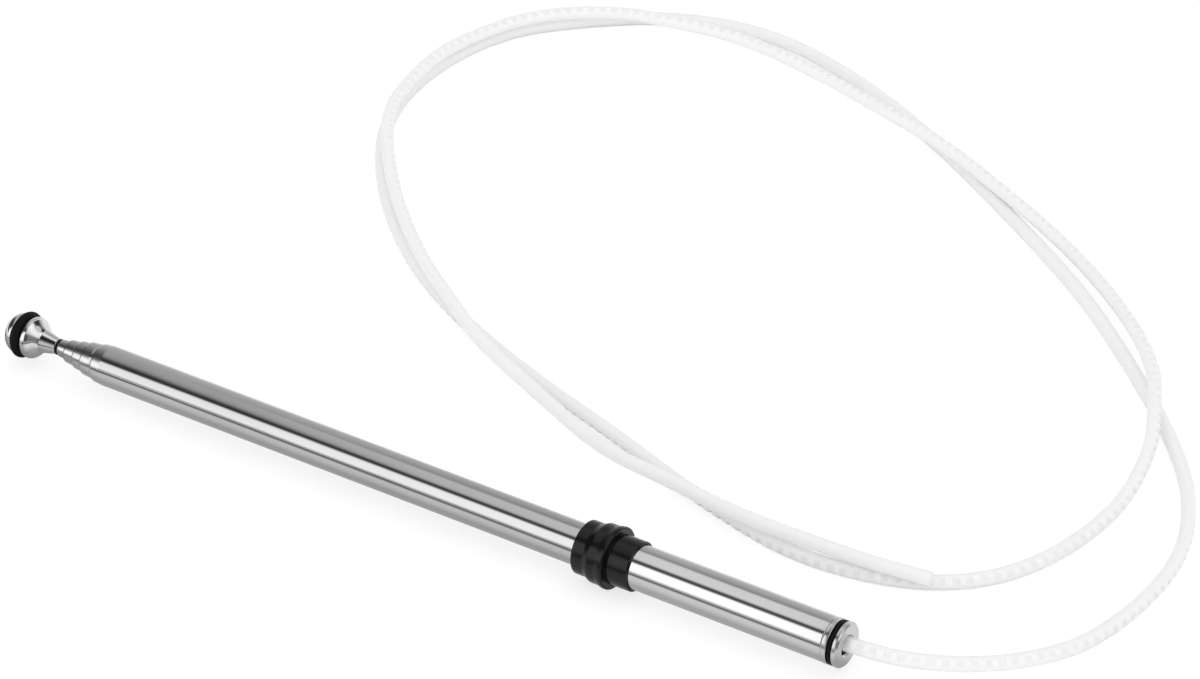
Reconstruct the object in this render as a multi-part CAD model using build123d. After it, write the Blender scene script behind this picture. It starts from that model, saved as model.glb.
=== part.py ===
# Telescopic car mast aerial with its toothed nylon drive cord, in millimetres.
# The mast lies on the floor along X: tip towards -X, foot towards +X, cord loop behind it at +Y.
import os
from math import pi, radians, sqrt, tan

from build123d import *

# The toothed cord runs inside the mast, so the rod, its bush and the tubes are sized outwards from it.
cord_diameter = 3.2
rod_undersize = 0.2
rod_bush_wall = 0.33
tube_wall = 0.3
tube_gap = 0.28
running_gap = 0.05
seat_gap = 0.05

# Tubes: the main tube is fixed, and the sections slide out of each other towards the tip.
main_tube_length = 183.35
section_exposures = [3.3, 2.55, 2.8, 2.3]
nose_length = 2.6
nose_land = 0.5
nose_lip = 0.12

# Foot of each section: a flared end that keeps a slotted contact spring on the tube.
foot_gap = 0.5
flare_length = 1.0
flare_gap = 0.08
contact_spring_length = 10.0
spring_slots = 6
spring_slot_width = 0.45
spring_land = 1.5

# Tip rod's stop bush, the ferrule that grips the end of the cord, and the bumper under the cap.
rod_bush_length = 8.0
ferrule_gap = 0.08
ferrule_length = 12.0
ferrule_grip = 6.0
ferrule_groove = 0.1
cord_tail_end = 4.0
bumper_wall = 0.3
bumper_thickness = 0.6

# Tip cap: dome, O-ring groove, bell and tapered shank turned in one piece.
cap_shank_wall = 0.4
cap_shank_taper = 0.3
cap_shank_length = 4.35
cap_socket_depth = 6.0
bell_length = 3.6
bell_radius = 4.7
bell_shoulder = 0.8
bell_edge_radius = 4.0
bell_swell_place = 0.55
bell_swell_drop = 0.36
dome_radius = 4.65
dome_height = 3.42
cap_o_ring_od = 10.5
cap_o_ring_section = 2.1

# Foot sleeve over the main tube, and the plug that closes both.
sleeve_wall = 0.28
sleeve_length = 49.6
plug_proud = 0.07
plug_spigot_length = 8.0
plug_collar_length = 1.2
plug_head_length = 1.17
plug_chamfer = 0.4
plug_mouth = 0.4
base_o_ring_sunk = 0.05
base_o_ring_section = 1.1
base_o_ring_play = 0.15
cord_hole_gap = 0.45

# Guide collar: a moulded bush that slides on the main tube down to the sleeve's top end.
collar_band_wall = 1.27
collar_band_length = 3.1
collar_rib_height = 0.63
collar_rib_length = 2.0
collar_ramp = 0.9
collar_bead_height = 0.3
collar_bead_width = 2.0
collar_bead_rise = 1.1
collar_spigot_wall = 0.57
collar_spigot_length = 5.15
collar_recess = 4.7
collar_round = 0.4

# The loose cord is shown as its plain round envelope, with arcs that take this share of each run.
arc_share = 0.45

# The cord's route: out of the plug, down to the floor and round.
lead_points = [
    (98, 0, 6.75), (112, 0, 6.75), (125, 6, 5.4), (135, 17, 3.0), (143, 32, 1.6),
    (146, 51, 1.6), (145, 69, 1.6), (139, 87, 1.6), (129, 104, 1.6),
]

# First turn, flat on the floor until it climbs over its own start.
first_turn = [
    (109, 122, 1.6), (82, 147, 1.6), (52, 168, 1.6), (20, 188, 1.6), (-8, 204, 1.6),
    (-38, 213, 1.6), (-64, 207, 1.6), (-80, 191, 1.6), (-93, 176, 1.6), (-99, 152, 1.6),
    (-96, 127, 1.6), (-82, 104, 1.6), (-61, 81, 1.6), (-36, 65, 1.6), (-5, 55.5, 1.6),
    (25, 44.5, 1.6), (52, 33, 1.6), (80, 25, 1.6), (106, 30, 1.6), (121, 47, 1.6),
    (127, 74, 1.6), (124, 97, 3.4),
]

# Second turn, riding over the first wherever the two cross, to the bare cut end.
second_turn = [
    (118, 112, 5.3), (111, 126, 5.3), (94, 145, 3.6), (70, 163, 3.4), (45, 175, 4.6),
    (26, 183, 5.3), (8, 187, 5.3), (-16, 195, 4.0), (-41, 202, 4.2), (-59, 199, 5.3),
    (-73, 196, 5.4), (-92, 185, 4.4), (-101, 162, 4.4), (-100, 144, 5.3), (-92, 124, 5.3),
    (-71, 98, 4.0), (-50, 76, 4.7), (-32, 63, 5.4), (-18, 53, 5.3), (4, 43, 4.2),
    (26, 34, 4.4), (45, 31, 5.3), (59, 30, 5.3), (76, 31, 4.2), (92, 31, 4.2), (109, 31, 5.2),
]

# Radii worked out from the sizes above.
cord_radius = cord_diameter / 2
rod_radius = cord_radius - rod_undersize / 2
shank_radius = rod_radius + cap_shank_wall
shank_root_radius = shank_radius + cap_shank_taper
slimmest_bore = rod_radius + rod_bush_wall + running_gap
ferrule_radius = slimmest_bore - ferrule_gap
tube_step = tube_wall + tube_gap
main_radius = slimmest_bore + tube_wall + len(section_exposures) * tube_step
tube_radii = [main_radius - tube_step * i for i in range(len(section_exposures) + 1)]
sleeve_radius = main_radius + sleeve_wall
plug_radius = sleeve_radius + plug_proud
base_ring_radius = plug_radius - base_o_ring_sunk
collar_bore = main_radius + running_gap
collar_band_radius = collar_bore + collar_band_wall
collar_rib_radius = collar_band_radius + collar_rib_height
collar_bead_radius = collar_rib_radius + collar_bead_height
collar_recess_radius = sleeve_radius + running_gap
collar_spigot_radius = collar_recess_radius + collar_spigot_wall

# Stations along the mast, counted from the foot end of the main tube.
section_foot = -plug_spigot_length - foot_gap
spring_start = section_foot - flare_length
spring_top = spring_start - contact_spring_length
fronts = [-main_tube_length]
for exposure in section_exposures:
    fronts.append(fronts[-1] - exposure)
bumper_back = fronts[-1] - seat_gap
shank_end = bumper_back - bumper_thickness
bell_back = shank_end - cap_shank_length
groove_back = bell_back - bell_length
groove_front = groove_back - cap_o_ring_section
tip_end = groove_front - dome_height
base_groove = plug_collar_length
head_start = base_groove + base_o_ring_section + base_o_ring_play
base_end = head_start + plug_head_length

# Rod train, from the cord's tail up to the stop bush.
tail_end = section_foot - seat_gap
ferrule_end = tail_end - cord_tail_end
ferrule_top = ferrule_end - ferrule_length
rod_end = ferrule_top + ferrule_grip
rod_bush_top = ferrule_top - rod_bush_length

# Collar stations at rest, with its recess against the sleeve's top end.
recess_floor = -sleeve_length - seat_gap
collar_end = recess_floor + collar_recess
spigot_start = collar_end - collar_spigot_length
bead_start = spigot_start - collar_bead_width
rib_start = bead_start - collar_rib_length
band_end = rib_start - collar_ramp
collar_start = band_end - collar_band_length

# The part's origin is under the middle of the mast, on the floor that the collar's bead rests on.
place = Pos(-(tip_end + base_end) / 2, 0, collar_bead_radius)


def at(x, r):
    """A point of a turned profile, in the plane through the mast's axis."""
    return Vector(x, 0, r)


def turned(*edges):
    """Revolve a closed profile about the mast's axis."""
    return revolve(make_face(Wire(edges)), Axis.X, 360)


def outline(*points):
    """The edges of a straight-sided profile through the given stations."""
    return Polyline(*[at(x, r) for x, r in points]).edges()


def tube(start, end, inner, outer):
    """A plain round tube, or a rod where the inner radius is nothing."""
    return turned(*outline((start, inner), (end, inner), (end, outer), (start, outer), (start, inner)))


def rolled_tube(front, foot, radius, mouth_radius, flare_radius=None):
    """A thin tube with its nose rolled in round the next section, and a flared foot if asked for."""
    bore = radius - tube_wall
    shoulder = front + nose_length
    lip_radius = mouth_radius + nose_lip
    nose = TangentArc(at(shoulder, radius), at(front, lip_radius), tangent=(-1, 0, 0))
    throat = TangentArc(at(shoulder, bore), at(front + nose_land, mouth_radius), tangent=(-1, 0, 0))
    mouth = outline((front, lip_radius), (front, mouth_radius), (front + nose_land, mouth_radius))
    wall = [(shoulder, bore), (foot, bore), (foot, radius), (shoulder, radius)]
    if flare_radius:
        spread = flare_radius - radius
        flare_start = foot - flare_length
        wall = [
            (shoulder, bore), (flare_start, bore), (flare_start + spread, bore + spread),
            (foot, bore + spread), (foot, flare_radius), (flare_start, flare_radius),
            (flare_start, radius), (shoulder, radius),
        ]
    return turned(nose, *mouth, throat, *outline(*wall))


def contact_spring(inner, outer):
    """A bronze sleeve cut into spring fingers, with one slot right through so that it can close."""
    sleeve = tube(spring_top, spring_start, inner, outer)
    finger_length = contact_spring_length - spring_land
    slot = Pos(spring_top + finger_length / 2, 0, outer) * Box(finger_length, spring_slot_width, 2 * outer)
    split = Pos((spring_top + spring_start) / 2, 0, outer) * Box(
        2 * contact_spring_length, spring_slot_width, 2 * outer
    )
    slots = [Rot(X=360 / spring_slots * i) * slot for i in range(1, spring_slots)]
    return sleeve - [split, *slots]


def o_ring(centre, outer_radius, section):
    """A round-section ring on the mast's axis."""
    ring = Torus(outer_radius - section / 2, section / 2)
    return Pos(centre, 0, 0) * Rot(Y=90) * ring


def tip_cap():
    """Dome, O-ring groove, bell and tapered shank, bored for the tip rod."""
    groove_radius = cap_o_ring_od / 2 - cap_o_ring_section
    bell_front = groove_back + bell_shoulder
    dome = Spline(
        at(tip_end, 0),
        at(groove_front - dome_height / sqrt(2), dome_radius / sqrt(2)),
        at(groove_front, dome_radius),
        tangents=[(0, 0, 1), (1, 0, 0)],
    )
    rise = at(groove_back + 0.3 * bell_shoulder, (bell_edge_radius + 2 * bell_radius) / 3)
    swell = at(
        bell_front + bell_swell_place * (bell_back - bell_front),
        bell_radius - bell_swell_drop * (bell_radius - shank_root_radius),
    )
    groove = outline(
        (groove_front, dome_radius), (groove_front, groove_radius),
        (groove_back, groove_radius), (groove_back, bell_edge_radius),
    )
    shoulder = ThreePointArc(at(groove_back, bell_edge_radius), rise, at(bell_front, bell_radius))
    bell = ThreePointArc(at(bell_front, bell_radius), swell, at(bell_back, shank_root_radius))
    socket_floor = shank_end - cap_socket_depth
    shank = outline(
        (bell_back, shank_root_radius), (shank_end, shank_radius), (shank_end, rod_radius),
        (socket_floor, rod_radius), (socket_floor, 0), (tip_end, 0),
    )
    return turned(dome, *groove, shoulder, bell, *shank)


def cord_ferrule():
    """A crimped sleeve, bored for the rod above and the cord below, with three crimp grooves."""
    sleeve = turned(*outline(
        (ferrule_top, ferrule_radius), (ferrule_top, rod_radius), (rod_end, rod_radius),
        (rod_end, cord_radius), (ferrule_end, cord_radius), (ferrule_end, ferrule_radius),
        (ferrule_top, ferrule_radius),
    ))
    half_crimp = ferrule_length / 12
    crimp = tube(-half_crimp, half_crimp, ferrule_radius - ferrule_groove, 2 * ferrule_radius)
    crimps = [Pos(ferrule_top + share * ferrule_length, 0, 0) * crimp for share in (0.2, 0.58, 0.82)]
    return sleeve - crimps


def base_plug():
    """The turned plug in the foot: spigot, collar, O-ring groove and chamfered head, bored for the cord."""
    bore = cord_radius + cord_hole_gap
    spigot_radius = main_radius - tube_wall
    groove_radius = base_ring_radius - base_o_ring_section
    return turned(*outline(
        (-plug_spigot_length, bore), (base_end - plug_mouth, bore), (base_end, bore + plug_mouth),
        (base_end, plug_radius - plug_chamfer), (base_end - plug_chamfer, plug_radius),
        (head_start, plug_radius), (head_start, groove_radius), (base_groove, groove_radius),
        (base_groove, plug_radius), (0, plug_radius), (0, spigot_radius),
        (-plug_spigot_length, spigot_radius), (-plug_spigot_length, bore),
    ))


def guide_collar():
    """The moulded collar: seat band, rib, bead and spigot, recessed for the sleeve's top end."""
    round_start = spigot_start - collar_round
    round_centre = collar_bead_radius - collar_round
    band = outline(
        (collar_start, collar_bore), (collar_start, collar_band_radius - collar_round),
        (collar_start + collar_round, collar_band_radius), (band_end, collar_band_radius),
        (rib_start, collar_rib_radius), (bead_start, collar_rib_radius),
        (bead_start + collar_bead_rise, collar_bead_radius), (round_start, collar_bead_radius),
    )
    bead_round = ThreePointArc(
        at(round_start, collar_bead_radius),
        at(round_start + collar_round / sqrt(2), round_centre + collar_round / sqrt(2)),
        at(spigot_start, round_centre),
    )
    spigot = outline(
        (spigot_start, round_centre), (spigot_start, collar_spigot_radius),
        (collar_end, collar_spigot_radius), (collar_end, collar_recess_radius),
        (recess_floor, collar_recess_radius), (recess_floor, collar_bore), (collar_start, collar_bore),
    )
    return turned(*band, bead_round, *spigot)


def cord_tube():
    """The loose cord: straight runs joined by arcs as large as the runs allow."""
    route = [Vector(*point) for point in lead_points + first_turn + second_turn]
    runs = [after - before for before, after in zip(route, route[1:])]
    radii = []
    for before, after in zip(runs, runs[1:]):
        half_turn = radians(before.get_angle(after)) / 2
        radii.append(arc_share * min(before.length, after.length) / tan(half_turn))
    path = FilletPolyline(*route, radius=radii)
    solid = sweep(Plane(route[0], z_dir=runs[0]) * Circle(cord_radius), path=path)
    length = path.length
    print("cord radii", [round(radius) for radius in radii])
    print("cord length", round(length, 1), "volume share", solid.volume / (pi * cord_radius**2 * length))
    return solid


parts = {
    "main_tube": rolled_tube(fronts[0], 0, main_radius, tube_radii[1] + running_gap),
    "foot_sleeve": tube(-sleeve_length, 0, main_radius, sleeve_radius),
    "base_plug": base_plug(),
    "base_o_ring": o_ring((base_groove + head_start) / 2, base_ring_radius, base_o_ring_section),
    "guide_collar": guide_collar(),
    "tip_cap": tip_cap(),
    "tip_o_ring": o_ring((groove_front + groove_back) / 2, cap_o_ring_od / 2, cap_o_ring_section),
    "rod_bumper": tube(shank_end, bumper_back, rod_radius, rod_radius + bumper_wall),
    "tip_rod": tube(shank_end - cap_socket_depth, rod_end, 0, rod_radius),
    "rod_stop_bush": tube(rod_bush_top, ferrule_top, rod_radius, slimmest_bore - running_gap),
    "cord_ferrule": cord_ferrule(),
    "cord_tail": tube(rod_end, tail_end, 0, cord_radius),
}
mouths = [radius + running_gap for radius in tube_radii[2:]] + [rod_radius + running_gap]
for number, (front, mouth_radius) in enumerate(zip(fronts[1:], mouths), start=1):
    radius = tube_radii[number]
    bore_around = tube_radii[number - 1] - tube_wall
    parts[f"section_tube_{number}"] = rolled_tube(
        front, section_foot, radius, mouth_radius, bore_around - flare_gap
    )
    parts[f"contact_spring_{number}"] = contact_spring(radius, bore_around - running_gap)
    print("section", number, "travel", round(spring_top - fronts[number - 1] - nose_length, 2))
print("rod travel", round(rod_bush_top - fronts[-1] - nose_length, 2))
print("mast length", round(base_end - tip_end, 2), "collar start", round(collar_start + place.position.X, 2))

os.makedirs("parts", exist_ok=True)
for name, solid in parts.items():
    export_step(place * solid, f"parts/{name}.step")
export_step(cord_tube(), "parts/rack_cord.step")
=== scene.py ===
import math

import bmesh
import bpy
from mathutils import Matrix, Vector


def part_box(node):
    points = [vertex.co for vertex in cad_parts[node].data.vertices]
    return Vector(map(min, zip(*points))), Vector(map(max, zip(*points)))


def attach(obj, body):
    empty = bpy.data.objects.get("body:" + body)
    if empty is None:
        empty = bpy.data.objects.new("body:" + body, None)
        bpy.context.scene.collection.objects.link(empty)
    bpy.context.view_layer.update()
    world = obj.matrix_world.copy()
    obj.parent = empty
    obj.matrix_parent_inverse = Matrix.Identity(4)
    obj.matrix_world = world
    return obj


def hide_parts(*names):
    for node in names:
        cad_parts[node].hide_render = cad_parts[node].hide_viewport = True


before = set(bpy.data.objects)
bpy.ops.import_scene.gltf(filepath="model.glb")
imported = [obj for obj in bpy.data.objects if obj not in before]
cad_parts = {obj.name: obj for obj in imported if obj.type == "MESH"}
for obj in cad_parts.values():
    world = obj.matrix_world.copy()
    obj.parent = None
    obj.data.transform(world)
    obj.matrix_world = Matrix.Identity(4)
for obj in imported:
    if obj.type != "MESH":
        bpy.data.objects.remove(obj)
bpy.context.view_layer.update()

mm = 0.001
mergeReach = 1e-6  # metres
sliverReach = 1e-7
print("frame loaded,", len(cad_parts), "nodes")


def linkObject(name, data):
    obj = bpy.data.objects.new(name, data)
    bpy.context.scene.collection.objects.link(obj)
    return obj


# camera: worked out from the photograph, the mast lying on the floor along X

cameraSetup = {
    "place": (431.5, -594.3, 519.6),  # mm
    "azimuth": 32.84,
    "elevation": 33.11,
    "lens": 128.8,
    "sensor": 36,
    "clipStart": 0.01,
}


def setCamera(setup):
    data = bpy.data.cameras.new("photoCamera")
    data.lens = setup["lens"]
    data.sensor_width = setup["sensor"]
    data.clip_start = setup["clipStart"]
    camera = linkObject("photoCamera", data)
    camera.location = [value * mm for value in setup["place"]]
    camera.rotation_euler = (math.radians(90 - setup["elevation"]), 0, math.radians(setup["azimuth"]))
    bpy.context.scene.camera = camera


setCamera(cameraSetup)
bpy.context.scene.view_settings.view_transform = "Standard"
print("camera set")


# small helpers for node trees

def addNode(tree, kind, inputs=None, **settings):
    node = tree.nodes.new(kind)
    for name, value in settings.items():
        setattr(node, name, value)
    for name, value in (inputs or {}).items():
        if isinstance(value, bpy.types.NodeSocket):
            tree.links.new(value, node.inputs[name])
        else:
            node.inputs[name].default_value = value
    return node


def addMath(tree, operation, first, second=None, third=None):
    values = {i: v for i, v in enumerate((first, second, third)) if v is not None}
    return addNode(tree, "ShaderNodeMath", values, operation=operation).outputs[0]


def grey(tone):
    return (tone, tone, tone, 1)


def addRamp(tree, factor, stops):
    # stops are (place, tone), both from 0 to 1
    node = addNode(tree, "ShaderNodeValToRGB", {"Fac": factor})
    ramp = node.color_ramp
    while len(ramp.elements) < len(stops):
        ramp.elements.new(0.5)
    for element, (place, tone) in zip(ramp.elements, sorted(stops)):
        element.position = place
        element.color = grey(tone)
    return node.outputs["Color"]


def mixTones(tree, factor, low, high, **settings):
    # a Mix node's colours are its inputs 6 and 7 and its output 2
    node = addNode(tree, "ShaderNodeMix", {0: factor, 6: low, 7: high}, data_type="RGBA", **settings)
    return node.outputs[2]


def newGroup(name, kind, inputs, outputs):
    tree = bpy.data.node_groups.new(name, kind)
    for label, socketType, value in inputs:
        socket = tree.interface.new_socket(label, in_out="INPUT", socket_type=socketType)
        if value is not None:
            socket.default_value = value
    for label, socketType in outputs:
        tree.interface.new_socket(label, in_out="OUTPUT", socket_type=socketType)
    return tree, tree.nodes.new("NodeGroupInput"), tree.nodes.new("NodeGroupOutput")


def finishTree(tree, end, geometry, finish):
    real = addNode(tree, "GeometryNodeRealizeInstances", {"Geometry": geometry})
    painted = addNode(tree, "GeometryNodeSetMaterial", {"Geometry": real.outputs[0], "Material": finish})
    tree.links.new(painted.outputs[0], end.inputs["Mesh"])


# from a tree or a curve to a plain mesh, and from a mesh to a piece

def asMesh(obj):
    obj.update_tag()
    bpy.context.view_layer.update()
    graph = bpy.context.evaluated_depsgraph_get()
    return bpy.data.meshes.new_from_object(obj.evaluated_get(graph), depsgraph=graph)


def runTree(obj, tree, values):
    # give the object the tree, set its inputs by identifier, and keep the result
    modifier = obj.modifiers.new(tree.name, "NODES")
    modifier.node_group = tree
    for item in tree.interface.items_tree:
        if item.item_type == "SOCKET" and item.in_out == "INPUT" and item.name in values:
            modifier[item.identifier] = values[item.name]
    mesh = asMesh(obj)
    obj.modifiers.remove(modifier)
    return mesh


def tidyMesh(mesh, angle):
    work = bmesh.new()
    work.from_mesh(mesh)
    bmesh.ops.remove_doubles(work, verts=work.verts, dist=mergeReach)
    bmesh.ops.dissolve_degenerate(work, edges=work.edges, dist=sliverReach)
    bmesh.ops.recalc_face_normals(work, faces=work.faces)
    for face in work.faces:
        face.smooth = True
    work.to_mesh(mesh)
    work.free()
    mesh.set_sharp_from_angle(angle=math.radians(angle))


def placePiece(name, mesh, body, node):
    piece = linkObject(name, mesh)
    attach(piece, body)
    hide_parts(node)
    return piece


# shared surface effects

def makeGrain():
    # fine moulding grain: a height for bump and a slow mottle for colour and roughness
    tree, start, end = newGroup(
        "mouldGrain", "ShaderNodeTree",
        [("Grain Size", "NodeSocketFloat", 2500.0), ("Mottle Size", "NodeSocketFloat", 180.0)],
        [("Height", "NodeSocketFloat"), ("Mottle", "NodeSocketFloat")],
    )
    where = addNode(tree, "ShaderNodeTexCoord").outputs["Object"]
    fine = addNode(tree, "ShaderNodeTexNoise", {
        "Vector": where, "Scale": start.outputs["Grain Size"], "Detail": 3.0, "Roughness": 0.6,
    })
    slow = addNode(tree, "ShaderNodeTexNoise", {
        "Vector": where, "Scale": start.outputs["Mottle Size"], "Detail": 4.0, "Roughness": 0.55,
    })
    tree.links.new(fine.outputs["Fac"], end.inputs["Height"])
    tree.links.new(slow.outputs["Fac"], end.inputs["Mottle"])
    return tree


def makePolish():
    # polishing lines that run along the mast, and faint wiping marks
    tree, start, end = newGroup(
        "polishLines", "ShaderNodeTree",
        [("Along", "NodeSocketFloat", 18.0), ("Across", "NodeSocketFloat", 2200.0)],
        [("Lines", "NodeSocketFloat"), ("Haze", "NodeSocketFloat")],
    )
    where = addNode(tree, "ShaderNodeTexCoord").outputs["Object"]
    stretch = addNode(tree, "ShaderNodeCombineXYZ", {
        "X": start.outputs["Along"], "Y": start.outputs["Across"], "Z": start.outputs["Across"],
    })
    scaled = addNode(tree, "ShaderNodeVectorMath", {0: where, 1: stretch.outputs[0]}, operation="MULTIPLY")
    lines = addNode(tree, "ShaderNodeTexNoise", {
        "Vector": scaled.outputs[0], "Scale": 1.0, "Detail": 3.0, "Roughness": 0.65,
    })
    haze = addNode(tree, "ShaderNodeTexNoise", {
        "Vector": where, "Scale": 95.0, "Detail": 5.0, "Roughness": 0.6,
    })
    tree.links.new(lines.outputs["Fac"], end.inputs["Lines"])
    tree.links.new(haze.outputs["Fac"], end.inputs["Haze"])
    return tree


mouldGrain = makeGrain()
polishLines = makePolish()
grainDepth = 0.05 * mm
polishDepth = 0.02 * mm
noiseRange = (0.3, 0.7)  # the stretch of a noise that roughness follows


# materials

def startMaterial(name):
    material = bpy.data.materials.new(name)
    material.use_nodes = True
    shader = material.node_tree.nodes["Principled BSDF"]
    return material, material.node_tree, shader


def dressShader(tree, shader, look, tone, drift, height, depth):
    # colour, roughness that drifts with a slow noise, and a faint bump
    rough = addNode(tree, "ShaderNodeMapRange", {
        "Value": drift, "From Min": noiseRange[0], "From Max": noiseRange[1],
        "To Min": look["smooth"], "To Max": look["rough"],
    })
    bump = addNode(tree, "ShaderNodeBump", {"Height": height, "Strength": look["bump"], "Distance": depth})
    tree.links.new(tone, shader.inputs["Base Color"])
    tree.links.new(rough.outputs[0], shader.inputs["Roughness"])
    tree.links.new(bump.outputs[0], shader.inputs["Normal"])


def brightMetal(name, look):
    material, tree, shader = startMaterial(name)
    polish = addNode(tree, "ShaderNodeGroup", {
        "Along": look["along"], "Across": look["across"],
    }, node_tree=polishLines).outputs
    tone = mixTones(tree, polish["Haze"], (*look["dark"], 1), (*look["light"], 1))
    dressShader(tree, shader, look, tone, polish["Haze"], polish["Lines"], polishDepth)
    shader.inputs["Metallic"].default_value = 1.0
    return material


def mouldedPlastic(name, look):
    material, tree, shader = startMaterial(name)
    grain = addNode(tree, "ShaderNodeGroup", {
        "Grain Size": look["grain"], "Mottle Size": look["mottle"],
    }, node_tree=mouldGrain).outputs
    tone = mixTones(tree, grain["Mottle"], (*look["dark"], 1), (*look["light"], 1))
    # painted shade: the darker tone in the gaps between the teeth stands in for their shade
    if "gap" in look:  # the gaps between the teeth are a little greyer
        gaps = addNode(tree, "ShaderNodeAttribute", attribute_name="gapShade")
        tone = mixTones(tree, gaps.outputs["Fac"], tone, (*look["gap"], 1))
    dressShader(tree, shader, look, tone, grain["Mottle"], grain["Height"], grainDepth)
    shader.inputs["IOR"].default_value = look["ior"]
    shader.inputs["Specular IOR Level"].default_value = look["specular"]
    shader.inputs["Subsurface Weight"].default_value = look.get("glow", 0.0)
    shader.inputs["Subsurface Radius"].default_value = (1.0, 1.0, 0.95)
    shader.inputs["Subsurface Scale"].default_value = look.get("glowDepth", 0.001)
    return material


tubeChrome = brightMetal("tubeChrome", {
    "dark": (0.5, 0.5, 0.505), "light": (0.57, 0.57, 0.575), "smooth": 0.06, "rough": 0.1,
    "along": 18.0, "across": 2200.0, "bump": 0.1,
})
sleeveChrome = brightMetal("sleeveChrome", {
    "dark": (0.6, 0.6, 0.605), "light": (0.66, 0.66, 0.665), "smooth": 0.045, "rough": 0.075,
    "along": 14.0, "across": 1800.0, "bump": 0.06,
})
capChrome = brightMetal("capChrome", {
    "dark": (0.7, 0.7, 0.705), "light": (0.77, 0.77, 0.775), "smooth": 0.035, "rough": 0.06,
    "along": 200.0, "across": 900.0, "bump": 0.04,
})
plugNickel = brightMetal("plugNickel", {
    "dark": (0.56, 0.56, 0.555), "light": (0.64, 0.64, 0.635), "smooth": 0.14, "rough": 0.28,
    "along": 2600.0, "across": 700.0, "bump": 0.5,
})
rodSteel = brightMetal("rodSteel", {
    "dark": (0.52, 0.52, 0.525), "light": (0.58, 0.58, 0.585), "smooth": 0.1, "rough": 0.16,
    "along": 25.0, "across": 3000.0, "bump": 0.15,
})
ferruleSteel = brightMetal("ferruleSteel", {
    "dark": (0.4, 0.4, 0.405), "light": (0.47, 0.47, 0.475), "smooth": 0.25, "rough": 0.34,
    "along": 300.0, "across": 1200.0, "bump": 0.3,
})
springBronze = brightMetal("springBronze", {
    "dark": (0.5, 0.33, 0.16), "light": (0.62, 0.43, 0.22), "smooth": 0.2, "rough": 0.3,
    "along": 60.0, "across": 1500.0, "bump": 0.2,
})
collarPlastic = mouldedPlastic("collarPlastic", {
    "dark": (0.003, 0.003, 0.0032), "light": (0.006, 0.006, 0.0063), "smooth": 0.17, "rough": 0.23,
    "grain": 2600.0, "mottle": 220.0, "bump": 0.16, "ior": 1.45, "specular": 0.32,
})
sealRubber = mouldedPlastic("sealRubber", {
    "dark": (0.002, 0.002, 0.002), "light": (0.005, 0.005, 0.005), "smooth": 0.5, "rough": 0.62,
    "grain": 3200.0, "mottle": 300.0, "bump": 0.1, "ior": 1.5, "specular": 0.15,
})
bumperPlastic = mouldedPlastic("bumperPlastic", {
    "dark": (0.003, 0.003, 0.003), "light": (0.006, 0.006, 0.006), "smooth": 0.45, "rough": 0.55,
    "grain": 3200.0, "mottle": 400.0, "bump": 0.08, "ior": 1.5, "specular": 0.15,
})
cordNylon = mouldedPlastic("cordNylon", {
    "dark": (0.92, 0.92, 0.915), "light": (0.955, 0.955, 0.95), "smooth": 0.36, "rough": 0.46,
    # gap is painted shade: the darker tone in the gaps between the teeth
    "gap": (0.855, 0.855, 0.85), "grain": 1800.0, "mottle": 260.0, "bump": 0.06, "ior": 1.45,
    "specular": 0.3, "glow": 1.0, "glowDepth": 0.003,
})
print("materials made")


# turned pieces: a profile swept round the mast's axis

hoopRadius = 0.01  # metres
axisHeight = sum(corner.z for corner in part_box("main_tube")) / 2


def makeTurning():
    # the profile lies in XY with X the radius less the hoop's radius, Y the place along the mast
    tree, start, end = newGroup(
        "turnedPiece", "GeometryNodeTree",
        [
            ("Profile", "NodeSocketGeometry", None), ("Segments", "NodeSocketInt", 96),
            ("Hoop Radius", "NodeSocketFloat", hoopRadius), ("Axis Height", "NodeSocketFloat", 0.0),
            ("Finish", "NodeSocketMaterial", None),
        ],
        [("Mesh", "NodeSocketGeometry")],
    )
    profile = addNode(tree, "GeometryNodeMeshToCurve", {"Mesh": start.outputs["Profile"]})
    hoop = addNode(tree, "GeometryNodeCurvePrimitiveCircle", {
        "Resolution": start.outputs["Segments"], "Radius": start.outputs["Hoop Radius"],
    })
    swept = addNode(tree, "GeometryNodeCurveToMesh", {
        "Curve": hoop.outputs["Curve"], "Profile Curve": profile.outputs["Curve"],
    })
    lift = addNode(tree, "ShaderNodeCombineXYZ", {"Z": start.outputs["Axis Height"]})
    laid = addNode(tree, "GeometryNodeTransform", {
        "Geometry": swept.outputs["Mesh"], "Translation": lift.outputs[0],
        "Rotation": (0, -math.pi / 2, 0),  # the sweep lays the profile along -Z
    })
    merged = addNode(tree, "GeometryNodeMergeByDistance", {
        "Geometry": laid.outputs[0], "Distance": mergeReach,
    })
    finishTree(tree, end, merged.outputs[0], start.outputs["Finish"])
    return tree


turnedPiece = makeTurning()


def bezier(ends, steps):
    # points along the curve that three or four ends draw, without its first
    order = len(ends) - 1
    result = []
    for k in range(1, steps + 1):
        t = k / steps
        shares = [math.comb(order, j) * t ** j * (1 - t) ** (order - j) for j in range(order + 1)]
        spot = sum((end * share for end, share in zip(ends, shares)), Vector((0, 0)))
        result.append(tuple(spot))
    return result


filletShare = 0.49  # the most of a side that a fillet takes


def softened(points, steps=5):
    # each point is (x, radius) or (x, radius, fillet); a fillet becomes a short curve
    result = []
    for i, point in enumerate(points):
        if len(point) < 3:
            result.append(point)
            continue
        here = Vector(point[:2])
        into = Vector(points[i - 1][:2]) - here
        out = Vector(points[(i + 1) % len(points)][:2]) - here
        longest = filletShare * min(into.length, out.length)
        reach = min(point[2] / math.tan(into.angle(out) / 2), longest)
        first = here + into.normalized() * reach
        last = here + out.normalized() * reach
        result += [tuple(first)] + bezier([first, here, last], steps)
    return result


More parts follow.
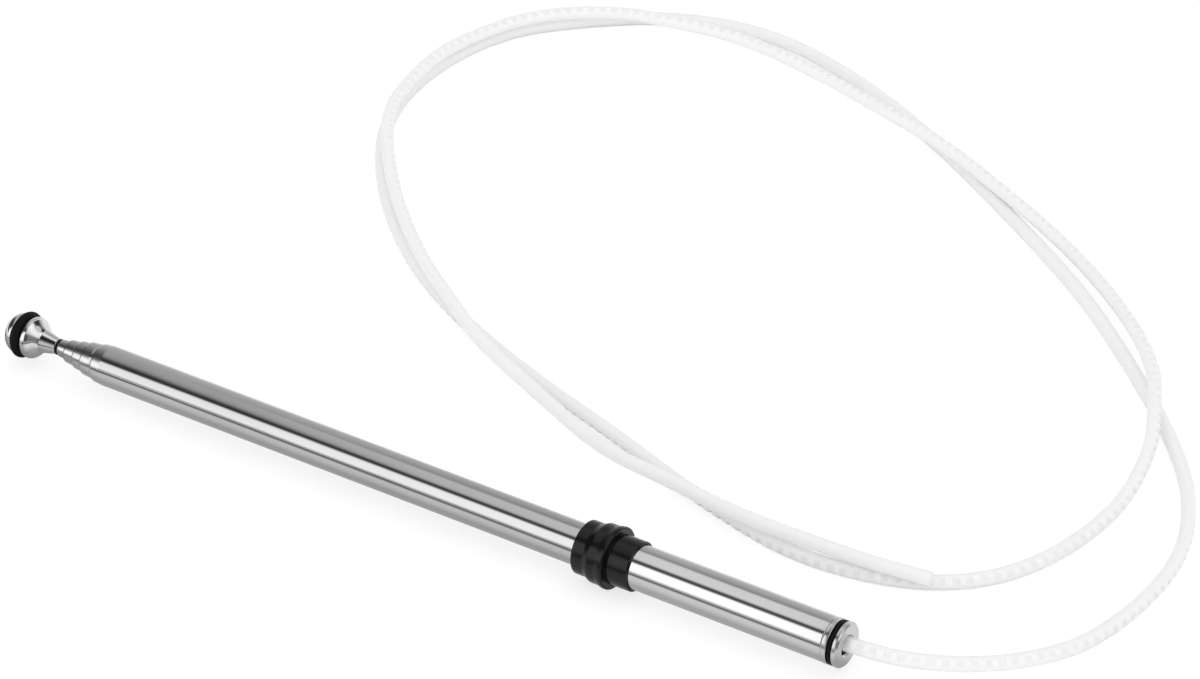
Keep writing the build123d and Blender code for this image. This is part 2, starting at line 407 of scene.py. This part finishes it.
def tangentArc(startX, startR, endX, endR, steps):
    # an arc that leaves its start along the mast and reaches the end point
    run, drop = endX - startX, startR - endR
    rho = (run * run + drop * drop) / (2 * drop)
    turn = math.asin(min(1, abs(run) / rho))
    return [
        (startX + math.copysign(rho * math.sin(turn * k / steps), run),
         startR - rho * (1 - math.cos(turn * k / steps)))
        for k in range(steps + 1)
    ]


bracing = {"longRun": 0.9, "fromEnd": 0.08}  # mm


def braced(points, closed):
    # rings close to both ends of each long straight keep its shading true
    result = []
    for i, here in enumerate(points):
        result.append(here)
        if i == len(points) - 1 and not closed:
            break
        there = points[(i + 1) % len(points)]
        length = math.dist(here, there)
        if length > bracing["longRun"]:
            share = bracing["fromEnd"] / length
            for t in (share, 1 - share):
                result.append(tuple(a + (b - a) * t for a, b in zip(here, there)))
    return result


def turnPiece(name, points, finish, body, node, closed=True, segments=128, angle=32):
    # points are in mm, x along the mast in the part's frame
    mesh = bpy.data.meshes.new(name + "Profile")
    verts = [(r * mm - hoopRadius, x * mm, 0) for x, r in braced(points, closed)]
    edges = [(i, i + 1) for i in range(len(verts) - 1)]
    if closed:
        edges.append((len(verts) - 1, 0))
    mesh.from_pydata(verts, edges, [])
    holder = linkObject(name + "Profile", mesh)
    result = runTree(holder, turnedPiece, {
        "Segments": segments, "Hoop Radius": hoopRadius, "Axis Height": axisHeight, "Finish": finish,
    })
    bpy.data.objects.remove(holder)
    bpy.data.meshes.remove(mesh)
    result.name = name
    tidyMesh(result, angle)
    placePiece(name, result, body, node)


def span(node):
    low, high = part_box(node)
    return low.x / mm, high.x / mm


# tubes

tubes = {
    "wall": 0.3,
    "noseLength": 2.6,
    "noseLand": 0.5,
    "noseLip": 0.33,
    "noseRoll": 0.62,
    "shoulderRound": 1.5,
    "runningGap": 0.05,
    "endRound": 0.06,
    "flareLength": 1.0,
    "flareGap": 0.08,
    "flareRound": 0.05,
    "radii": [4.5, 3.92, 3.34, 2.76, 2.18],  # main tube first
    "rodRadius": 1.5,
}


def tubeProfile(node, radius, inner, flare=None):
    # outer skin from foot to nose, round the rolled lip, and back down the bore
    front, foot = span(node)
    bore = radius - tubes["wall"]
    mouth = inner + tubes["runningGap"]
    lip = mouth + tubes["noseLip"]
    shoulder = front + tubes["noseLength"]
    if flare is None:
        skin = [(foot, radius, tubes["endRound"])]
        end = [(foot, bore)]
    else:
        start, spread, edge = foot - tubes["flareLength"], flare - radius, tubes["flareRound"]
        skin = [(foot, flare, edge), (start, flare, edge), (start, radius)]
        end = [(start, bore), (start + spread, bore + spread), (foot, bore + spread)]
    slope = (radius - lip) / tubes["noseLength"]
    rollStart = Vector((front + tubes["noseRoll"], lip + slope * tubes["noseRoll"]))
    skin += [(shoulder, radius, tubes["shoulderRound"]), tuple(rollStart)]
    roll = bezier([rollStart, Vector((front, lip)), Vector((front, mouth))], steps=8)
    throat = tangentArc(shoulder, bore, front + tubes["noseLand"], mouth, steps=6)
    return softened([(foot, bore)] + skin, steps=4)[1:] + roll + throat[::-1] + end


turnPiece(
    "chromeMainTube", tubeProfile("main_tube", tubes["radii"][0], tubes["radii"][1]),
    tubeChrome, "mast_base", "main_tube", segments=160,
)
for number in range(1, 5):
    node = f"section_tube_{number}"
    around, radius, inner = (tubes["radii"] + [tubes["rodRadius"]])[number - 1:number + 2]
    flare = around - tubes["wall"] - tubes["flareGap"]
    turnPiece(
        f"chromeSectionTube{number}", tubeProfile(node, radius, inner, flare),
        tubeChrome, f"section_{number}", node,
    )
print("tubes turned")


# foot: sleeve and plug, and both seal rings

footSleeve = {"outer": 4.78, "inner": 4.5, "frontEdge": 0.18, "footEdge": 0.18}


def sleeveProfile(node, look):
    front, foot = span(node)
    return softened([
        (front, look["inner"]), (front, look["outer"], look["frontEdge"]),
        (foot, look["outer"], look["footEdge"]), (foot, look["inner"]),
    ])


turnPiece(
    "chromeFootSleeve", sleeveProfile("foot_sleeve", footSleeve),
    sleeveChrome, "mast_base", "foot_sleeve", segments=160,
)

basePlug = {
    "radius": 4.85, "edge": 0.12, "chamfer": 0.4,
    "bore": 2.05, "mouth": 0.4, "mouthEdge": 0.08,
    "spigot": 4.2, "spigotLength": 8.0, "spigotEdge": 0.3, "seatEdge": 0.2,
    "collarLength": 1.2, "groove": 1.25, "grooveRadius": 3.7,
}


def plugProfile(look):
    front, foot = span("base_plug")
    seat = front + look["spigotLength"]
    grooveFront = seat + look["collarLength"]
    grooveBack = grooveFront + look["groove"]
    radius, edge = look["radius"], look["edge"]
    return softened([
        (front, look["bore"]), (front, look["spigot"], look["spigotEdge"]),
        (seat, look["spigot"]), (seat, radius, look["seatEdge"]),
        (grooveFront, radius, edge), (grooveFront, look["grooveRadius"]),
        (grooveBack, look["grooveRadius"]), (grooveBack, radius, edge),
        (foot - look["chamfer"], radius, edge), (foot, radius - look["chamfer"], edge),
        (foot, look["bore"] + look["mouth"], look["mouthEdge"]), (foot - look["mouth"], look["bore"]),
    ])


turnPiece(
    "turnedBasePlug", plugProfile(basePlug), plugNickel, "mast_base", "base_plug",
)

sealRings = {"baseSection": 1.1, "tipSection": 2.1, "steps": 28}


def ringProfile(node, section):
    low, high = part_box(node)
    middle = (low.x + high.x) / 2 / mm
    half = section / 2
    centre = (high.z - low.z) / 2 / mm - half
    turns = [math.tau * k / sealRings["steps"] for k in range(sealRings["steps"])]
    return [(middle + half * math.cos(turn), centre + half * math.sin(turn)) for turn in turns]


turnPiece(
    "baseSealRing", ringProfile("base_o_ring", sealRings["baseSection"]),
    sealRubber, "mast_base", "base_o_ring",
)
turnPiece(
    "tipSealRing", ringProfile("tip_o_ring", sealRings["tipSection"]),
    sealRubber, "tip", "tip_o_ring",
)
print("foot turned")


# guide collar

guideCollar = {
    "bore": 4.55, "lead": 0.3, "leadDepth": 0.25, "endRound": 0.45,
    "band": 5.82, "bandLength": 2.8, "bandRound": 1.2, "ramp": 1.4,
    "rib": 6.45, "ribLength": 1.8, "ribRound": 1.0, "hollowRound": 2.0,
    "bead": 6.75, "beadWidth": 2.0, "beadRise": 1.1, "beadRound": 2.0, "faceRound": 0.4,
    "spigot": 5.4, "spigotDraft": 0.04, "spigotRound": 0.15, "rootRound": 0.05,
    "recess": 4.83, "recessDepth": 4.7, "rimRound": 0.06,
}


def collarProfile(look):
    start, end = span("guide_collar")
    bandEnd = start + look["bandLength"]
    ribStart = bandEnd + look["ramp"]
    ribEnd = ribStart + look["ribLength"]
    face = ribEnd + look["beadWidth"]
    floor = end - look["recessDepth"]
    return softened([
        (start + look["lead"], look["bore"]), (start, look["bore"] + look["leadDepth"]),
        (start, look["band"], look["endRound"]), (bandEnd, look["band"], look["bandRound"]),
        (ribStart, look["rib"], look["ribRound"]), (ribEnd, look["rib"], look["hollowRound"]),
        (ribEnd + look["beadRise"], look["bead"], look["beadRound"]),
        (face, look["bead"], look["faceRound"]), (face, look["spigot"], look["rootRound"]),
        (end, look["spigot"] - look["spigotDraft"], look["spigotRound"]),
        (end, look["recess"], look["rimRound"]), (floor, look["recess"]), (floor, look["bore"]),
    ], steps=6)


turnPiece(
    "mouldedGuideCollar", collarProfile(guideCollar),
    collarPlastic, "collar", "guide_collar", segments=160, angle=40,
)
print("collar moulded")


# tip: cap, bumper and rod

tipCap = {
    "domeRadius": 4.65, "domeHeight": 3.42, "domeEdge": 0.15, "groove": 2.1, "grooveRadius": 3.15,
    "bellEdge": 4.0, "bellRim": 0.08, "bellShoulder": 1.3, "bellRadius": 4.7, "bellReach": 1.3,
    "bellDip": 0.05,
    "neckReach": 0.7, "neckLength": 2.9, "neckPull": 2.74, "neck": 2.57,
    "shank": 1.67, "shankEdge": 0.15, "socket": 1.5, "socketDepth": 6.0,
    "domeSteps": 18, "riseSteps": 8, "bellSteps": 24,
}


def capProfile(look):
    tip, shankEnd = span("tip_cap")
    grooveFront = tip + look["domeHeight"]
    grooveBack = grooveFront + look["groove"]
    shoulder = grooveBack + look["bellShoulder"]
    neckEnd = shoulder + look["neckLength"]
    socketEnd = shankEnd - look["socketDepth"]
    quarter = math.pi / 2
    turns = [quarter * k / look["domeSteps"] for k in range(look["domeSteps"])]
    dome = [
        (grooveFront - look["domeHeight"] * math.cos(turn), look["domeRadius"] * math.sin(turn))
        for turn in turns
    ]
    domeSide = (grooveFront - 0.6, look["domeRadius"] * 0.985)  # these two only steer the rounds
    bellSide = (grooveBack + 0.1, look["bellEdge"] + 0.27)
    edge = softened([
        domeSide, (grooveFront, look["domeRadius"], look["domeEdge"]), (grooveFront, look["grooveRadius"]),
        (grooveBack, look["grooveRadius"]), (grooveBack, look["bellEdge"], look["bellRim"]), bellSide,
    ], steps=4)[1:-1]
    swell = look["bellRadius"] - look["bellEdge"]
    turns = [quarter * k / look["riseSteps"] for k in range(2, look["riseSteps"] + 1)]
    rise = [  # the bell swells from its edge to its widest ring
        (shoulder - look["bellShoulder"] * math.cos(turn), look["bellEdge"] + swell * math.sin(turn))
        for turn in turns
    ]
    bell = bezier([  # it rounds over and falls in one sweep into the hollow of the neck
        Vector((shoulder, look["bellRadius"])),
        Vector((shoulder + look["bellReach"], look["bellRadius"] - look["bellDip"])),
        Vector((neckEnd - look["neckReach"], look["neckPull"])),
        Vector((neckEnd, look["neck"])),
    ], look["bellSteps"])
    shank = softened([
        bell[-1], (shankEnd, look["shank"], look["shankEdge"]), (shankEnd, look["socket"]),
        (socketEnd, look["socket"]), (socketEnd, 0),
    ], steps=4)[1:]
    return dome + edge + rise + bell + shank


turnPiece(
    "turnedTipCap", capProfile(tipCap), capChrome, "tip", "tip_cap", closed=False,
)

rodBumper = {"outer": 1.8, "inner": 1.5, "frontEdge": 0.12, "footEdge": 0.2}
turnPiece(
    "rodBumperRing", sleeveProfile("rod_bumper", rodBumper),
    bumperPlastic, "tip", "rod_bumper", segments=96,
)

tipRod = {"radius": tubes["rodRadius"], "edge": 0.15}


def rodProfile(look):
    front, foot = span("tip_rod")
    ends = [(front, look["radius"], look["edge"]), (foot, look["radius"], look["edge"])]
    return softened([(front, 0)] + ends + [(foot, 0)])


turnPiece(
    "steelTipRod", rodProfile(tipRod), rodSteel, "tip", "tip_rod", closed=False, segments=96,
)
print("tip turned")

# pieces inside that keep their CAD shapes
hiddenFinishes = {f"contact_spring_{number}": springBronze for number in range(1, 5)}
hiddenFinishes.update({
    "rod_stop_bush": springBronze, "cord_ferrule": ferruleSteel, "cord_tail": cordNylon,
})
for node, finish in hiddenFinishes.items():
    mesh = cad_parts[node].data
    mesh.materials.clear()
    mesh.materials.append(finish)
print("inside finished")


# rack cord: one nylon strip with teeth cut across one side, laid on the route's smooth line

rackCord = {
    "pitch": 2.85,
    "halfWidth": 1.6,
    "back": 1.45,
    "toothTop": 1.6,
    "toothFloor": 1.2,
    "ringsPerTooth": 8,
    "profilePoints": 20,
    "routeSteps": 12,  # between two points of the route
    "sharpAngle": 38,
    "length": 1.316,  # metres
    "diameter": 0.0032,
}
# the route in mm: out of the plug, once round on the floor, and once more over that to the cut end
cordRoute = [
    (98, 0, 7.1), (112, 0, 7.0), (125, 6, 6.0), (135, 17, 3.7), (142.5, 32, 1.6),
    (145.8, 51, 1.6), (145.2, 69, 1.6), (138.5, 87, 1.6), (127.5, 103, 1.6),
    (109, 122.5, 1.6), (82, 147.5, 1.6), (52, 168.5, 1.6), (20, 189.5, 1.6), (-8, 204, 1.6),
    (-38, 213, 1.6), (-64, 207, 1.6), (-81.5, 193, 1.6), (-95, 178, 1.6), (-100, 152.5, 1.6),
    (-95.5, 127.5, 1.6), (-82, 105.5, 1.6), (-61, 83.5, 1.6), (-36, 66, 1.6), (-4, 52.5, 1.6),
    (25.5, 43, 1.6), (52, 33, 1.6), (79.5, 26, 1.6), (106, 31.5, 1.6), (121, 47, 1.6),
    (127, 74, 1.6), (124, 97, 3.4),
    (117.5, 111.5, 5.3), (110.5, 125, 5.3), (94, 143.5, 3.6), (70, 161.5, 3.4), (45, 174, 4.6),
    (26, 183, 5.3), (7, 189, 5.3), (-16.5, 197, 4.9), (-41, 202, 4.9), (-59, 199, 5.3),
    (-73, 196, 5.4), (-91, 183.5, 4.9), (-99, 160, 4.9), (-97.5, 141.5, 5.3), (-92.5, 122.5, 5.3),
    (-71.5, 96, 4.9), (-50, 76, 4.9), (-32, 63, 5.4), (-18, 53.5, 5.3), (3.5, 44.5, 4.2),
    (26, 34, 4.4), (45, 31, 5.3), (59.5, 28.5, 5.3), (71.5, 28, 5.2), (84.5, 28.5, 5.0), (96.5, 29, 4.9),
    (107.5, 31.5, 4.1),
]
# how far the teeth are turned up from the outside of the loop: (place along the cord in mm, degrees)
toothTurn = [
    (0, 38), (50, 38), (64, 14), (85, 4), (100, -6), (118, -30), (560, -48), (630, -45), (660, 0),
    (675, 12), (690, 38), (722, 38), (740, 18), (757, 10), (785, 60), (810, 72), (890, 78), (950, 90),
    (1000, 112), (1050, 118), (1090, 140), (1130, 160), (1200, 165), (1316, 165),
]
turnRange = (-60, 180)  # degrees that the tree's curve can hold


def storeValue(tree, geometry, name, value, kind="FLOAT"):
    return addNode(tree, "GeometryNodeStoreNamedAttribute", {
        "Geometry": geometry, "Name": name, "Value": value,
    }, data_type=kind, domain="POINT").outputs[0]


def readValue(tree, name, kind="FLOAT"):
    node = addNode(tree, "GeometryNodeInputNamedAttribute", {"Name": name}, data_type=kind)
    return node.outputs["Attribute"]


def splitPosition(tree):
    position = addNode(tree, "GeometryNodeInputPosition").outputs[0]
    return addNode(tree, "ShaderNodeSeparateXYZ", {"Vector": position}).outputs


def rackLine(tree, sizes):
    # the route in even rings, turned as toothTurn says, each marked as tooth or gap
    line = addNode(tree, "GeometryNodeMeshToCurve", {"Mesh": sizes["Line"]})
    fine = addNode(tree, "GeometryNodeResampleCurve", {"Curve": line.outputs[0], "Count": sizes["Rings"]})
    upright = addNode(tree, "GeometryNodeSetCurveNormal", {"Curve": fine.outputs[0]}, mode="Z_UP")
    along = addNode(tree, "GeometryNodeSplineParameter").outputs
    lean = addNode(tree, "ShaderNodeFloatCurve", {"Value": along["Factor"]})
    low, high = turnRange
    spots = [(place / toothTurn[-1][0], (degrees - low) / (high - low)) for place, degrees in toothTurn]
    curve = lean.mapping.curves[0]
    for spot in spots[1:-1]:
        curve.points.new(*spot)
    curve.points[0].location = spots[0]
    curve.points[-1].location = spots[-1]
    lean.mapping.update()
    tilt = addMath(tree, "MULTIPLY_ADD", lean.outputs[0], -math.radians(high - low), -math.radians(low))
    leaned = addNode(tree, "GeometryNodeSetCurveTilt", {"Curve": upright.outputs[0], "Tilt": tilt})
    ring = addMath(tree, "MODULO", along["Index"], sizes["Rings Per Tooth"])
    half = addMath(tree, "MULTIPLY", sizes["Rings Per Tooth"], 0.5)
    gap = addMath(tree, "GREATER_THAN", addMath(tree, "ADD", ring, 0.5), half)
    marked = storeValue(tree, leaned.outputs[0], "toothGap", gap)
    outward = addNode(tree, "GeometryNodeInputNormal").outputs["Normal"]
    return storeValue(tree, marked, "outward", outward, "FLOAT_VECTOR")


def rackSection(tree, sizes):
    # an oval, deeper on the toothed side
    oval = addNode(tree, "GeometryNodeCurvePrimitiveCircle", {
        "Resolution": sizes["Profile Points"], "Radius": 1.0,
    })
    spot = splitPosition(tree)
    toothSide = addMath(tree, "MULTIPLY", addMath(tree, "MAXIMUM", spot["X"], 0.0), sizes["Tooth Top"])
    backSide = addMath(tree, "MULTIPLY", addMath(tree, "MINIMUM", spot["X"], 0.0), sizes["Back"])
    depth = addMath(tree, "ADD", toothSide, backSide)
    width = addMath(tree, "MULTIPLY", spot["Y"], sizes["Half Width"])
    place = addNode(tree, "ShaderNodeCombineXYZ", {"X": depth, "Y": width})
    shaped = addNode(tree, "GeometryNodeSetPosition", {
        "Geometry": oval.outputs["Curve"], "Position": place.outputs[0],
    })
    return storeValue(tree, shaped.outputs[0], "side", splitPosition(tree)["X"])


def cutTeeth(tree, sizes, strip):
    # in the gaps, what stands above the tooth floor is set down on it and marked for painted shade, a
    # darker tone
    gap = readValue(tree, "toothGap")
    side = readValue(tree, "side")
    above = addMath(tree, "MINIMUM", addMath(tree, "SUBTRACT", sizes["Tooth Floor"], side), 0.0)
    offset = addNode(tree, "ShaderNodeVectorMath", {
        0: readValue(tree, "outward", "FLOAT_VECTOR"), "Scale": addMath(tree, "MULTIPLY", above, gap),
    }, operation="SCALE")
    toothed = addNode(tree, "GeometryNodeSetPosition", {"Geometry": strip, "Offset": offset.outputs[0]})
    shade = addNode(tree, "ShaderNodeMapRange", {
        "Value": side, "From Min": sizes["Tooth Floor"], "From Max": sizes["Tooth Top"],
    }, interpolation_type="SMOOTHSTEP")
    paintedGapShadeValue = addMath(tree, "MULTIPLY", shade.outputs[0], gap)
    return storeValue(tree, toothed.outputs[0], "gapShade", paintedGapShadeValue)


def makeRack():
    tree, start, end = newGroup(
        "rackCord", "GeometryNodeTree",
        [
            ("Line", "NodeSocketGeometry", None), ("Rings", "NodeSocketInt", 3000),
            ("Rings Per Tooth", "NodeSocketInt", 8), ("Profile Points", "NodeSocketInt", 20),
            ("Half Width", "NodeSocketFloat", 0.0016), ("Back", "NodeSocketFloat", 0.00145),
            ("Tooth Top", "NodeSocketFloat", 0.0016), ("Tooth Floor", "NodeSocketFloat", 0.0012),
            ("Finish", "NodeSocketMaterial", None),
        ],
        [("Mesh", "NodeSocketGeometry")],
    )
    sizes = start.outputs
    strip = addNode(tree, "GeometryNodeCurveToMesh", {
        "Curve": rackLine(tree, sizes), "Profile Curve": rackSection(tree, sizes), "Fill Caps": True,
    })
    finishTree(tree, end, cutTeeth(tree, sizes, strip.outputs[0]), sizes["Finish"])
    return tree


def smoothRoute(look):
    data = bpy.data.curves.new("cordLine", "CURVE")
    data.dimensions = "3D"
    data.resolution_u = look["routeSteps"]
    spline = data.splines.new("NURBS")
    spline.points.add(len(cordRoute) - 1)
    for point, spot in zip(spline.points, cordRoute):
        point.co = (*[value * mm for value in spot], 1)
    spline.order_u = 3
    spline.use_endpoint_u = True
    line = linkObject("cordLine", data)
    mesh = asMesh(line)
    bpy.data.objects.remove(line)
    return mesh


def layCord(look):
    route = smoothRoute(look)
    path = [vertex.co.copy() for vertex in route.vertices]
    length = sum((b - a).length for a, b in zip(path, path[1:]))
    holder = linkObject("rackLine", route)
    mesh = runTree(holder, makeRack(), {
        "Rings": int(length / (look["pitch"] * mm)) * look["ringsPerTooth"],
        "Rings Per Tooth": look["ringsPerTooth"], "Profile Points": look["profilePoints"],
        "Half Width": look["halfWidth"] * mm, "Back": look["back"] * mm, "Tooth Top": look["toothTop"] * mm,
        "Tooth Floor": look["toothFloor"] * mm, "Finish": cordNylon,
    })
    bpy.data.objects.remove(holder)
    for name in ("toothGap", "outward", "side"):
        mesh.attributes.remove(mesh.attributes[name])
    tidyMesh(mesh, look["sharpAngle"])
    piece = placePiece("rackCordStrip", mesh, "mast_base", "rack_cord")
    print("cord laid,", round(length, 4), "m,", len(mesh.polygons), "faces")


layCord(rackCord)


# studio: floor, what the metal mirrors, and the light

def stageMesh(name, verts, faces, material, onlyGloss=True):
    mesh = bpy.data.meshes.new(name)
    mesh.from_pydata(verts, [], faces)
    mesh.materials.append(material)
    obj = linkObject(name, mesh)
    if onlyGloss:
        obj.visible_camera = False
        obj.visible_diffuse = False
        obj.visible_shadow = False
        obj.visible_transmission = False


def clearTree(owner):
    owner.use_nodes = True
    owner.node_tree.nodes.clear()
    return owner.node_tree


def glowingMaterial(name):
    material = bpy.data.materials.new(name)
    tree = clearTree(material)
    glow = addNode(tree, "ShaderNodeEmission")
    addNode(tree, "ShaderNodeOutputMaterial", {"Surface": glow.outputs[0]})
    return material, tree, glow


floorPaper = {
    "tone": 0.93,  # white paper, as the object sees it
    "shadowTone": 0.36,  # how much of the shadow the camera sees
    "lift": 0.73,  # added for the camera
    "gloss": 0.15,  # added in reflections
    "halfSize": 8.0,
}


def setFloor(look):
    material = bpy.data.materials.new("paleFloor")
    tree = clearTree(material)
    rays = addNode(tree, "ShaderNodeLightPath").outputs
    paper = mixTones(tree, rays["Is Camera Ray"], grey(look["tone"]), grey(look["shadowTone"]))
    matte = addNode(tree, "ShaderNodeBsdfDiffuse", {"Color": paper})
    mirrored = addMath(tree, "MAXIMUM", rays["Is Glossy Ray"], rays["Is Transmission Ray"])
    lift = addMath(tree, "MULTIPLY", rays["Is Camera Ray"], look["lift"])
    strength = addMath(tree, "MULTIPLY_ADD", mirrored, look["gloss"], lift)
    glow = addNode(tree, "ShaderNodeEmission", {"Color": grey(1), "Strength": strength})
    both = addNode(tree, "ShaderNodeAddShader", {0: matte.outputs[0], 1: glow.outputs[0]})
    addNode(tree, "ShaderNodeOutputMaterial", {"Surface": both.outputs[0]})
    half = look["halfSize"]
    corners = [(-half, -half, 0), (half, -half, 0), (half, half, 0), (-half, half, 0)]
    stageMesh("floor", corners, [(0, 1, 2, 3)], material, onlyGloss=False)


# tones are (degrees up from the floor's front edge, tone), a list for each stretch along the mast
paperTent = {
    "radius": 0.8,
    "halfLength": 2.2,
    "facets": 48,
    "sink": 0.2,  # degrees that its edges go under the mast's axis
    "brightest": 1.8,
    "noseTones": [
        (-2, 0.8), (6, 1.75), (26, 1.7), (36, 1.1), (44, 0.45), (52, 0.2), (62, 0.09), (80, 0.1), (93, 0.2),
        (107, 0.3), (122, 0.4), (139, 0.54), (157, 0.62), (182, 0.66),
    ],
    "tipTones": [
        (-2, 0.3), (2, 0.45), (7, 1.3), (12, 1.5), (40, 1.4), (45, 1.1), (51, 0.12), (55, 0.05), (64, 0.05),
        (72, 0.15), (84, 0.42), (98, 0.52), (126, 0.6), (150, 0.65), (166, 0.7), (182, 0.7),
    ],
    "footTones": [
        (-2, 0.35), (2, 0.55), (7, 1.4), (12, 1.6), (42, 1.6), (47, 1.4), (53, 0.2), (57, 0.1), (64, 0.12),
        (70, 0.72), (76, 0.98), (113, 0.95), (119, 0.7), (124, 0.38), (130, 0.39), (138, 0.48), (160, 0.6),
        (182, 0.65),
    ],
    "neckTones": [
        (-2, 0.45), (9, 0.7), (20, 0.62), (30, 0.45), (40, 0.14), (47, 0.05), (57, 0.02), (74, 0.02),
        (84, 0.08), (98, 0.4), (111, 0.62), (129, 0.8), (151, 1.0), (182, 1.1),
    ],
    "seamTones": [
        (-2, 0.12), (30, 0.08), (40, 0.2), (47, 0.7), (60, 0.9), (82, 1.3), (104, 1.1), (112, 0.5),
        (118, 0.06), (140, 0.04), (147, 0.25), (155, 0.6), (165, 0.9), (182, 1.1),
    ],
    "farTones": [
        (-2, 0.25), (12, 0.22), (30, 0.25), (42, 0.35), (52, 0.85), (70, 1.15), (96, 1.15), (106, 0.75),
        (130, 0.7), (145, 0.4), (160, 0.5), (182, 0.7),
    ],
    "stretches": ["noseTones", "tipTones", "footTones", "neckTones", "seamTones", "farTones"],
    # where one stretch passes into the next, metres
    "passes": [(-0.76, -0.66), (-0.62, -0.27), (-0.232, -0.215), (-0.13, -0.07), (0.42, 0.6)],
    "endTones": [(-2.2, 0.05), (-1.5, 0.08), (-1.2, 1.0), (1.8, 1.0), (2.2, 0.8)],
}


def tentTones(tree, spot, look):
    front = addMath(tree, "MULTIPLY", spot["Y"], -1.0)
    angle = addMath(tree, "ARCTAN2", addMath(tree, "SUBTRACT", spot["Z"], axisHeight), front)
    low, high = -10, 190  # degrees that the ramps cover
    risen = addMath(tree, "SUBTRACT", angle, math.radians(low))
    share = addMath(tree, "DIVIDE", risen, math.radians(high - low))
    ramps = []
    for stretch in look["stretches"]:
        stops = [((turn - low) / (high - low), tone / look["brightest"]) for turn, tone in look[stretch]]
        ramps.append(addRamp(tree, share, stops))
    paper = ramps[0]
    for ramp, (start, end) in zip(ramps[1:], look["passes"]):
        passed = addNode(tree, "ShaderNodeMapRange", {
            "Value": spot["X"], "From Min": start, "From Max": end,
        }, interpolation_type="SMOOTHSTEP")
        paper = mixTones(tree, passed.outputs[0], paper, ramp)
    half = look["halfLength"]
    along = addMath(tree, "DIVIDE", addMath(tree, "ADD", spot["X"], half), 2 * half)
    ends = addRamp(tree, along, [((place + half) / (2 * half), tone) for place, tone in look["endTones"]])
    return mixTones(tree, 1.0, paper, ends, blend_type="MULTIPLY")


def setTent(look):
    # a long paper tent over the mast, seen only in reflections: bright front, dark seams, grey back
    material, tree, glow = glowingMaterial("tentPaper")
    where = addNode(tree, "ShaderNodeTexCoord").outputs["Object"]
    spot = addNode(tree, "ShaderNodeSeparateXYZ", {"Vector": where}).outputs
    tree.links.new(tentTones(tree, spot, look), glow.inputs["Color"])
    glow.inputs["Strength"].default_value = look["brightest"]
    facets, radius, half = look["facets"], look["radius"], look["halfLength"]
    verts = []
    for k in range(facets + 1):
        turn = math.radians(-look["sink"] + (180 + 2 * look["sink"]) * k / facets)
        y, z = -radius * math.cos(turn), axisHeight + radius * math.sin(turn)
        verts += [(-half, y, z), (half, y, z)]
    faces = [(2 * k, 2 * k + 1, 2 * k + 3, 2 * k + 2) for k in range(facets)]
    stageMesh("paperTent", verts, faces, material)


# painted shadow for reflections: tones that stand in for the floor's shade under the mast
paintedShadeStrip = {
    "ends": (-0.14, 0.9),  # metres along the mast
    "height": 0.0003,
    "tip": (-0.102, -0.088),  # it is darker before these
    "tipTone": 0.55,
    "tones": [  # (millimetres in front of the mast, tone)
        (-14, 1.0), (-6, 0.9), (-2, 0.5), (5, 0.54), (7, 0.56), (10, 0.74), (14, 0.86), (22, 0.92),
        (28, 0.85), (34, 0.55), (42, 0.3), (60, 0.22), (180, 0.2), (220, 0.4),
    ],
}


def setPaintedShadeStrip(look):
    # painted shade: a glowing strip on the floor that only the metal sees, with a painted shadow under the
    # mast and a dark line in front of it
    material, tree, glow = glowingMaterial("paintedShadeStrip")
    where = addNode(tree, "ShaderNodeTexCoord").outputs["Object"]
    spot = addNode(tree, "ShaderNodeSeparateXYZ", {"Vector": where}).outputs
    near, far = look["tones"][0][0], look["tones"][-1][0]
    share = addNode(tree, "ShaderNodeMapRange", {
        "Value": spot["Y"], "From Min": -near * mm, "From Max": -far * mm,
    })
    stops = [((place - near) / (far - near), tone) for place, tone in look["tones"]]
    tree.links.new(addRamp(tree, share.outputs[0], stops), glow.inputs["Color"])
    tipStart, tipEnd = look["tip"]
    strength = addNode(tree, "ShaderNodeMapRange", {
        "Value": spot["X"], "From Min": tipStart, "From Max": tipEnd, "To Min": look["tipTone"],
    }, interpolation_type="SMOOTHSTEP")
    tree.links.new(strength.outputs[0], glow.inputs["Strength"])
    left, right = look["ends"]
    front, back = -far * mm, -near * mm
    level = look["height"]
    corners = [(left, front, level), (right, front, level), (right, back, level), (left, back, level)]
    stageMesh("paintedShadeStrip", corners, [(0, 1, 2, 3)], material)


studioLight = {
    "level": 0.91,
    "fromFront": 0.22,  # added on the front side, taken from the back
    "frontSide": (0.54, -0.84, 0.0),
    "gloss": 0.1,  # what metal mirrors past the tent
}


def setWorld(look):
    world = bpy.data.worlds.new("studioWorld")
    bpy.context.scene.world = world
    tree = clearTree(world)
    rays = addNode(tree, "ShaderNodeLightPath").outputs
    gloss = addNode(tree, "ShaderNodeBackground", {"Color": grey(look["gloss"]), "Strength": 1.0})
    sky = addNode(tree, "ShaderNodeTexCoord").outputs["Generated"]
    facing = addNode(tree, "ShaderNodeVectorMath", {0: sky, 1: look["frontSide"]}, operation="DOT_PRODUCT")
    strength = addMath(tree, "MULTIPLY_ADD", facing.outputs["Value"], look["fromFront"], look["level"])
    light = addNode(tree, "ShaderNodeBackground", {"Color": grey(1), "Strength": strength})
    mix = addNode(tree, "ShaderNodeMixShader", {
        0: rays["Is Glossy Ray"], 1: light.outputs[0], 2: gloss.outputs[0],
    })
    addNode(tree, "ShaderNodeOutputWorld", {"Surface": mix.outputs[0]})


setFloor(floorPaper)
setTent(paperTent)
setPaintedShadeStrip(paintedShadeStrip)
setWorld(studioLight)
print("studio set")
